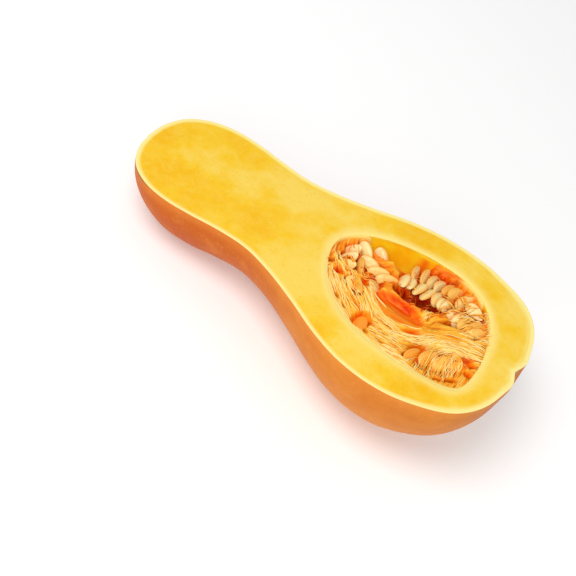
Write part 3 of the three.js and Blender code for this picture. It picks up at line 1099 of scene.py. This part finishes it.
def seed_shape(random):
    """A unit seed: a flat drop with a raised rim round its edge and a blunt tip."""
    rings, around = 30, 40
    share = np.linspace(0, np.pi, rings)[:, None]
    along = -np.cos(share) + 0 * np.linspace(0, 1, around)
    angle = np.linspace(0, 2 * np.pi, around, endpoint=False)[None, :]
    outline = np.sin(share) ** 0.9 * (1 - 0.26 * along)
    outline = outline / outline.max()
    across = outline * np.cos(angle)
    edge = np.abs(np.cos(angle)) * np.ones_like(along)
    ridge = 0.12 * np.exp(-((edge - 0.86) / 0.07) ** 2) - 0.28 * np.exp(-((edge - 0.7) / 0.1) ** 2)
    height = outline ** 0.75 * np.sign(np.sin(angle)) * np.abs(np.sin(angle)) ** 0.8 * (1 + ridge)
    twist, curl = random.uniform(-0.12, 0.12), random.uniform(-0.25, 0.25)
    height = height + twist * across * along + curl * (along ** 2 - 0.4)
    return np.stack([along, across, height], axis=-1), smoothstep(0.78, 0.92, edge)


def build_seed(name, axes_of_seed, number, material):
    """One seed in its CAD place, with its own small turn, size and colour."""
    random = np.random.default_rng(100 + number)
    centre, axes, half = axes_of_seed
    points, rim = seed_shape(random)
    rings, around = rim.shape
    yaw = math.radians(random.uniform(-14, 14))
    turn = np.array([[math.cos(yaw), math.sin(yaw), 0], [-math.sin(yaw), math.cos(yaw), 0], [0, 0, 1]])
    size = half * np.array([1.0, 1.05, 1.1]) * random.uniform(0.9, 1.04)
    spots = centre + (points.reshape(-1, 3) * size) @ turn @ axes
    rise = -SUNKEN_DROP if number in SUNKEN else SEED_RISE
    spots += np.array([*random.uniform(-0.8, 0.8, 2), rise])
    spots[:, 2] = np.minimum(spots[:, 2], -SEED_UNDER_CUT)
    tone = WRAPPED.get(number, random.uniform(0.42, 0.85))
    # Painted shade: each seed is painted deeper yellow towards its lower side.
    depth = (centre[2] - spots[:, 2]) / np.ptp(spots[:, 2])
    tone = np.clip(tone - 0.45 * smoothstep(-0.15, 0.45, depth), 0, 1)
    seed = make_object(
        f"seed_body_{number:02d}", spots, grid_faces(rings, around, wrap=True),
        {"rim": rim, "tone": tone}, weld=0.02,
    )
    seed.data.materials.append(material)
    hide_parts(name)


# ---- floor, light and camera

# The floor's half size in metres, its colour and its faint glow.
FLOOR_REACH = 6.0
FLOOR_COLOUR = (0.92, 0.92, 0.92, 1)
FLOOR_GLOW = 0.17


def build_stage():
    """A pale floor under the squash."""
    mesh = bpy.data.meshes.new("floor")
    reach = FLOOR_REACH
    corners = [(-reach, -reach, 0), (reach, -reach, 0), (reach, reach, 0), (-reach, reach, 0)]
    mesh.from_pydata(corners, [], [(0, 1, 2, 3)])
    floor = bpy.data.objects.new("floor", mesh)
    bpy.context.scene.collection.objects.link(floor)
    n = Nodes("pale_floor")
    n.shader.inputs["Emission Color"].default_value = (1, 1, 1, 1)
    n.shader.inputs["Emission Strength"].default_value = FLOOR_GLOW
    floor.data.materials.append(n.finish(FLOOR_COLOUR, 0.9, specular=0.2))


def add_light(name, position, target, size, power):
    """A round white lamp that faces its target. Metres and watts."""
    data = bpy.data.lights.new(name, "AREA")
    data.shape = "DISK"
    data.size = size
    data.energy = power
    light = bpy.data.objects.new(name, data)
    light.location = position
    light.rotation_mode = "QUATERNION"
    light.rotation_quaternion = (Vector(target) - Vector(position)).to_track_quat("-Z", "Y")
    bpy.context.scene.collection.objects.link(light)


def light_scene():
    """A key lamp, a fill lamp and an even white sky."""
    sky_strength = 0.5
    centre = (cad_box[0] + cad_box[1]) / 2
    add_light("key", (-0.35, -0.6, 1.25), centre, 0.7, 9.9)
    add_light("fill", (0.35, -1.35, 0.85), centre, 1.2, 6)
    world = bpy.data.worlds.new("studio")
    world.use_nodes = True
    sky = world.node_tree.nodes["Background"]
    sky.inputs["Color"].default_value = (1, 1, 1, 1)
    sky.inputs["Strength"].default_value = sky_strength
    bpy.context.scene.world = world
    bpy.context.scene.view_settings.view_transform = "Standard"


# The camera in the squash frame, in millimetres: where it is, what is in the middle of its view,
# and which way is up in its picture. The lens and the sensor's width are in millimetres too.
CAMERA_AT = (268.6, -589.3, 605.0)
CAMERA_TARGET = (130.9, -43.8, 0.0)
CAMERA_UP = (-0.5432, 0.5584, 0.6270)
CAMERA_LENS = 88.3
CAMERA_SENSOR = 36


def add_camera():
    """The camera, turned so that the squash lies in its picture as it does on the table."""
    data = bpy.data.cameras.new("camera")
    data.lens = CAMERA_LENS
    data.sensor_width = CAMERA_SENSOR
    camera = bpy.data.objects.new("camera", data)
    bpy.context.scene.collection.objects.link(camera)
    position, target = Vector(place(CAMERA_AT)), Vector(place(CAMERA_TARGET))
    back = (position - target).normalized()
    up = Vector(np.array(CAMERA_UP) @ AXES)
    right = up.cross(back).normalized()
    up = back.cross(right)
    turn = Matrix((right, up, back)).transposed().to_4x4()
    camera.matrix_world = Matrix.Translation(position) @ turn
    bpy.context.scene.camera = camera


# ---- build

add_camera()
light_scene()
build_stage()
build_skin()
build_flesh()
seed_nodes = sorted(name for name in frame["nodes"] if name.startswith("seed_"))
seeds = [seed_axes(frame["nodes"][name]) for name in seed_nodes]
pulp = pulp_fields([seed for number, seed in enumerate(seeds, 1) if number not in SUNKEN])
build_pulp(pulp)
build_strings("pulp_strings", string_paths(pulp))
seed_coat = seed_material()
for index, name in enumerate(seed_nodes):
    build_seed(name, seeds[index], index + 1, seed_coat)
